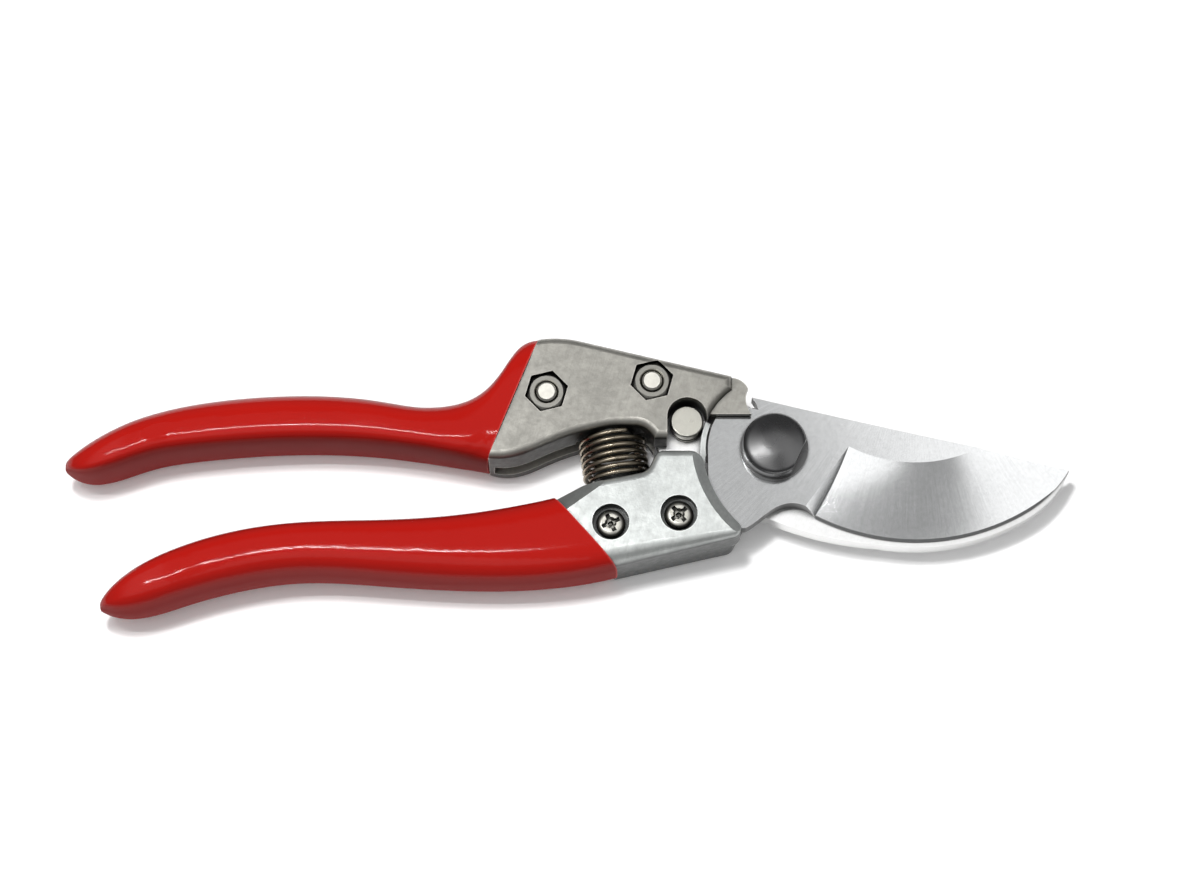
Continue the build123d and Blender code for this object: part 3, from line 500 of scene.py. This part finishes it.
# Painted shade darkens the gaps of these parts, up to the given amount
def plated_finish(name, metal, roughness, grain_size=1800.0, shade_amount=0.9, reach=1.6 * MM, shut=0.35,
                  edge_radius=0.3 * MM):
    """Small plated or plain steel parts with painted highlights on their edges and painted shade in their
    gaps.
    """
    material, tree, shader = finish(name)
    tone = toned(metal, PLATED_TONES)
    grain = group_in(tree, fine_grain, {"Grain": grain_size, "Mottle": 420.0})
    edge = group_in(tree, lit_edges, {"Radius": edge_radius, "Spread": 0.3})
    skin = blend_colours(tree, grain.outputs["Mottle"], tone["skin"], tone["mottle"])
    # Painted highlight on the edges
    highlit = blend_colours(tree, edge.outputs["Mask"], skin, tone["edges"])
    feed(tree, shader, {
        "Base Color": gap_shaded(tree, highlit, reach, shade_amount, shut),
        "Metallic": 1.0,
        "Roughness": uneven(tree, grain.outputs["Mottle"], roughness, less=0.05, more=0.12),
        "Normal": bump(tree, grain.outputs["Height"], depth=0.012 * MM, strength=0.5),
    })
    return material


def blackened_finish(looks):
    """Polished black oxide, with a grey painted highlight on its edges."""
    material, tree, shader = finish("blackened_steel")
    grain = group_in(tree, fine_grain, {"Grain": 900.0, "Mottle": 240.0})
    smear = group_in(tree, hand_marks, {"Size": 160.0, "Amount": 1.0})
    edge = group_in(tree, lit_edges, {"Radius": 0.3 * MM, "Spread": 0.35})
    skin = blend_colours(tree, grain.outputs["Mottle"], looks.black, looks.black_mottle)
    feed(tree, shader, {
        # Painted highlight: grey on the edges
        "Base Color": blend_colours(tree, edge.outputs["Mask"], skin, looks.black_edge_highlight),
        "IOR": 2.1,
        "Roughness": spread(tree, smear.outputs["Smear"], to_range=(0.27, 0.36)),
        "Normal": bump(tree, grain.outputs["Height"], depth=0.01 * MM, strength=0.2),
    })
    return material


def rubber_finish(looks):
    """Matt black rubber."""
    material, tree, shader = finish("black_rubber")
    grain = group_in(tree, fine_grain, {"Grain": 3000.0, "Mottle": 500.0})
    feed(tree, shader, {
        "Base Color": blend_colours(tree, grain.outputs["Mottle"], looks.rubber, looks.rubber_dust),
        "Roughness": 0.6,
        "Normal": bump(tree, grain.outputs["Height"], depth=0.01 * MM, strength=0.5),
    })
    return material


def dress(material, *names):
    """Give CAD nodes a material."""
    for name in names:
        slots = nodes[name].data.materials
        slots.clear()
        slots.append(material)


def pairs(*names):
    """Names of the two pieces of each kind."""
    return [f"{name}_{number}" for name in names for number in (1, 2)]


class SHEARS_OT_grips(bpy.types.Operator):
    """Finish the two dipped grips"""

    bl_idname = "shears.grips"
    bl_label = "Grips"

    def execute(self, context):
        dress(vinyl_finish(context.scene.shears_grips), "upper_grip", "lower_grip")
        return {"FINISHED"}


class SHEARS_OT_castings(bpy.types.Operator):
    """Finish the two castings"""

    bl_idname = "shears.castings"
    bl_label = "Castings"

    def execute(self, context):
        looks = context.scene.shears_castings
        upper_metal = casting_finish("upper_casting_metal", looks, looks.upper, looks.upper_roughness)
        dress(upper_metal, "upper_handle")
        lower_metal = casting_finish("lower_casting_metal", looks, looks.lower, looks.lower_roughness)
        dress(lower_metal, "lower_handle")
        return {"FINISHED"}


class SHEARS_OT_blades(bpy.types.Operator):
    """Finish the cutting blade and the counter blade"""

    bl_idname = "shears.blades"
    bl_label = "Blades"

    def execute(self, context):
        looks = context.scene.shears_blades
        cutting_finish = steel_finish(
            "ground_steel", looks, looks.steel, looks.side_shade_share, looks.shade_reach, looks.flat_roughness,
            looks.grind_roughness)
        dress(cutting_finish, "cutting_blade")
        counter_finish = steel_finish(
            "counter_blade_ground_steel", looks, looks.counter_steel, looks.counter_side_shade_share,
            looks.counter_shade_reach, looks.counter_flat_roughness, looks.counter_grind_roughness)
        dress(counter_finish, "counter_blade")
        return {"FINISHED"}


class SHEARS_OT_hardware(bpy.types.Operator):
    """Finish the pivot, the screws, the nuts and the lock"""

    bl_idname = "shears.hardware"
    bl_label = "Hardware"

    def execute(self, context):
        looks = context.scene.shears_hardware
        dress(blackened_finish(looks), "pivot_bolt")
        dress(plated_finish("pivot_nut_steel", looks.pivot_zinc, roughness=0.34), "pivot_nut", "pivot_washer")
        dress(plated_finish("zinc_plating", looks.zinc, roughness=0.3),
              *pairs("cutting_blade_nut", "counter_blade_nut"))
        # The cross recesses are small, so their painted shade is dense and the painted highlight on their
        # edges is a thin line only
        dress(plated_finish("screw_zinc_plating", looks.screw_zinc, roughness=0.3, shade_amount=0.98, reach=1.1 * MM,
                            shut=0.6, edge_radius=0.08 * MM), *pairs("cutting_blade_screw"))
        dress(plated_finish("bright_zinc_plating", looks.bright_zinc, roughness=0.4, shade_amount=0.5),
              *pairs("counter_blade_screw"))
        dress(plated_finish("turned_steel", looks.turned, roughness=0.32, grain_size=900.0), "lock_button")
        dress(rubber_finish(looks), "lock_o_ring")
        return {"FINISHED"}


def coil_axis(looks):
    """Direction of the coil, from the lower handle to the upper one."""
    return Vector((-math.sin(looks.lean), math.cos(looks.lean), 0))


def wire_sections(looks):
    """Corners of the wire, section by section along the coil."""
    axis = coil_axis(looks)
    top = Vector((0, 0, 1))
    side = axis.cross(top)
    foot = Vector(looks.foot)
    corner_angles = [math.tau * corner / looks.sides for corner in range(looks.sides)]
    for step in range(round(looks.turns * looks.steps) + 1):
        coil_angle = looks.start + math.tau * step / looks.steps
        outward = top * math.cos(coil_angle) + side * math.sin(coil_angle)
        along = side * math.cos(coil_angle) - top * math.sin(coil_angle)
        heading = (along * looks.coil_radius + axis * (looks.pitch / math.tau)).normalized()
        rise = heading.cross(outward)
        middle = foot + outward * looks.coil_radius + axis * (looks.pitch * step / looks.steps)
        yield [middle + (outward * math.cos(turn) + rise * math.sin(turn)) * looks.wire_radius
               for turn in corner_angles]


def coil_mesh(looks):
    """The wire's closed skin, smooth along its length and flat at its two ends."""
    mesh = bmesh.new()
    rings = [[mesh.verts.new(corner) for corner in section] for section in wire_sections(looks)]
    for first, second in zip(rings, rings[1:]):
        for corner in range(looks.sides):
            after = (corner + 1) % looks.sides
            mesh.faces.new((first[corner], first[after], second[after], second[corner]))
    for ring in (rings[0], rings[-1]):
        mesh.faces.new(ring)
    bmesh.ops.recalc_face_normals(mesh, faces=mesh.faces)
    data = bpy.data.meshes.new("spring_coil")
    mesh.to_mesh(data)
    mesh.free()
    for face in data.polygons:
        face.use_smooth = len(face.vertices) < looks.sides
    return data


def even_shares(data, sides):
    """Give each section of the wire one share of the blend, so that it stays round as the spring opens."""
    shares = data.attributes["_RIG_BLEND"].data
    for first in range(0, len(shares), sides):
        section = shares[first:first + sides]
        middle = sum(corner.value for corner in section) / sides
        for corner in section:
            corner.value = middle


class SHEARS_OT_spring(bpy.types.Operator):
    """Make the return spring, which stretches as the handles open"""

    bl_idname = "shears.spring"
    bl_label = "Return spring"

    def execute(self, context):
        looks = context.scene.shears_spring
        data = coil_mesh(looks)
        coil = bpy.data.objects.new("spring_coil", data)
        context.scene.collection.objects.link(coil)
        # The wire gets painted shade between its close coils
        data.materials.append(
            plated_finish("oiled_wire", looks.steel, roughness=0.26, grain_size=2200.0, shade_amount=0.6))
        foot = Vector(looks.foot)
        head = foot + coil_axis(looks) * (looks.pitch * looks.turns)
        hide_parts("return_spring")
        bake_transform(coil, "cutting_half", "counter_half", start=tuple(foot), end=tuple(head))
        even_shares(data, looks.sides)
        return {"FINISHED"}


def floor_finish(looks):
    """Pale matt floor with a faint glow that only camera, mirrors and glass see."""
    material, tree, shader = finish("pale_floor")
    grain = group_in(tree, fine_grain, {"Grain": 300.0, "Mottle": 4.0})
    path = put(tree, "ShaderNodeLightPath")
    seen = path.outputs["Is Camera Ray"]
    for kind in ("Is Glossy Ray", "Is Transmission Ray"):
        seen = reckon(tree, "MAXIMUM", seen, path.outputs[kind])
    feed(tree, shader, {
        "Base Color": blend_colours(tree, grain.outputs["Mottle"], looks.floor, looks.floor_mottle),
        "Emission Color": blend_colours(tree, seen, (0.0, 0.0, 0.0), looks.floor_glow),
        "Emission Strength": 1.0,
        "Roughness": 0.9,
        "Specular IOR Level": 0.0,
    })
    return material


def lay_floor(scene, looks):
    """A flat square just below the shears."""
    data = bpy.data.meshes.new("floor")
    reach = looks.floor_reach
    data.from_pydata([(-reach, -reach, 0), (reach, -reach, 0), (reach, reach, 0), (-reach, reach, 0)], [],
                     [(0, 1, 2, 3)])
    data.materials.append(floor_finish(looks))
    floor = bpy.data.objects.new("floor", data)
    floor.location.z = -looks.floor_drop
    scene.collection.objects.link(floor)
    return floor


def light_room(scene, looks):
    """A white ceiling with a slanted gap, fading into greyer walls."""
    world = bpy.data.worlds.new("studio_room")
    scene.world = world
    world.use_nodes = True
    tree = world.node_tree
    direction = put(tree, "ShaderNodeTexCoord").outputs["Generated"]
    parts = put(tree, "ShaderNodeSeparateXYZ", {0: direction})
    height = reckon(tree, "MAXIMUM", parts.outputs["Z"], LOWEST)
    behind = reckon(tree, "DIVIDE", parts.outputs["Y"], height)
    across = put(tree, "ShaderNodeVectorMath", {0: direction, 1: GAP_ACROSS}, operation="DOT_PRODUCT")
    reach = reckon(tree, "DIVIDE", across.outputs["Value"], height)
    from_middle = reckon(tree, "ABSOLUTE", reckon(tree, "SUBTRACT", reach, GAP_MIDDLE))
    in_gap = spread(tree, behind, GAP_NEAR_TO_FAR, (looks.near_gap, looks.gap))
    gap = spread(tree, from_middle, GAP_EDGE, (in_gap, 1.0), smooth=True)
    far = spread(tree, behind, FAR_FADE, (1.0, looks.far_side), smooth=True)
    near = spread(tree, behind, NEAR_FADE, (looks.near_side, 1.0), smooth=True)
    shaded = reckon(tree, "MULTIPLY", gap, reckon(tree, "MULTIPLY", far, near))
    ceiling = reckon(tree, "MULTIPLY", shaded, looks.ceiling)
    light = spread(tree, parts.outputs["Z"], DOME_FADE, (looks.walls, ceiling), smooth=True)
    feed(tree, tree.nodes["Background"], {"Color": (1.0, 1.0, 1.0, 1.0), "Strength": light})


def hang_lamps(scene, looks):
    """Two lamps that look straight down: a strip that glossy parts mirror, and an unmirrored key lamp."""
    for name, power, place, size, shows in (
        ("strip_light", looks.strip_light, looks.strip_place, (looks.strip_length, looks.strip_width), True),
        ("key_light", looks.key_light, looks.key_place, (looks.key_side, looks.key_side), False),
    ):
        lamp = bpy.data.lights.new(name, "AREA")
        lamp.shape = "RECTANGLE"
        lamp.size, lamp.size_y = size
        lamp.energy = power
        holder = bpy.data.objects.new(name, lamp)
        holder.location = place
        holder.visible_glossy = shows
        scene.collection.objects.link(holder)


def aim_camera(scene, looks):
    """The camera, in front of the shears and high above them."""
    lens = bpy.data.cameras.new("camera")
    lens.lens = looks.lens
    lens.sensor_width = 36
    lens.sensor_fit = "HORIZONTAL"
    camera = bpy.data.objects.new("camera", lens)
    back = Vector((0, -math.cos(looks.elevation), math.sin(looks.elevation)))
    camera.location = Vector(looks.aim) + back * looks.distance
    camera.rotation_euler = (-back).to_track_quat("-Z", "Y").to_euler()
    scene.collection.objects.link(camera)
    scene.camera = camera


class SHEARS_OT_stage(bpy.types.Operator):
    """Make the floor, the light and the camera"""

    bl_idname = "shears.stage"
    bl_label = "Stage"

    def execute(self, context):
        scene = context.scene
        looks = scene.shears_studio
        scene.view_settings.view_transform = "Standard"
        floor = lay_floor(scene, looks)
        light_room(scene, looks)
        hang_lamps(scene, looks)
        aim_camera(scene, looks)
        return {"FINISHED"}


class SHEARS_PT_looks(bpy.types.Panel):
    """Lists the pieces and their settings"""

    bl_label = "Pruning shears"
    bl_idname = "SHEARS_PT_looks"
    bl_space_type = "VIEW_3D"
    bl_region_type = "UI"
    bl_category = "Shears"

    def draw(self, context):
        for operator, settings_name, _ in STEPS:
            box = self.layout.box()
            box.operator(operator.bl_idname)
            settings = getattr(context.scene, settings_name)
            for key in settings.bl_rna.properties.keys():
                if key not in ("rna_type", "name"):
                    box.prop(settings, key)


# Each piece or group of pieces: its operator, and the name and kind of its settings
STEPS = (
    (SHEARS_OT_grips, "shears_grips", GripLooks),
    (SHEARS_OT_castings, "shears_castings", CastingLooks),
    (SHEARS_OT_blades, "shears_blades", BladeLooks),
    (SHEARS_OT_hardware, "shears_hardware", HardwareLooks),
    (SHEARS_OT_spring, "shears_spring", SpringLooks),
    (SHEARS_OT_stage, "shears_studio", StudioLooks),
)


def register():
    """Make the settings, the operators and the panel known."""
    for operator, settings_name, settings in STEPS:
        bpy.utils.register_class(settings)
        setattr(bpy.types.Scene, settings_name, PointerProperty(type=settings))
        bpy.utils.register_class(operator)
    bpy.utils.register_class(SHEARS_PT_looks)


def unregister():
    """Take them away again."""
    bpy.utils.unregister_class(SHEARS_PT_looks)
    for operator, settings_name, settings in reversed(STEPS):
        bpy.utils.unregister_class(operator)
        delattr(bpy.types.Scene, settings_name)
        bpy.utils.unregister_class(settings)


def main():
    """Dress the model piece by piece."""
    register()
    for operator, _, _ in STEPS:
        module, name = operator.bl_idname.split(".")
        getattr(getattr(bpy.ops, module), name)()
    bpy.context.view_layer.update()


if __name__ == "__main__":
    main()
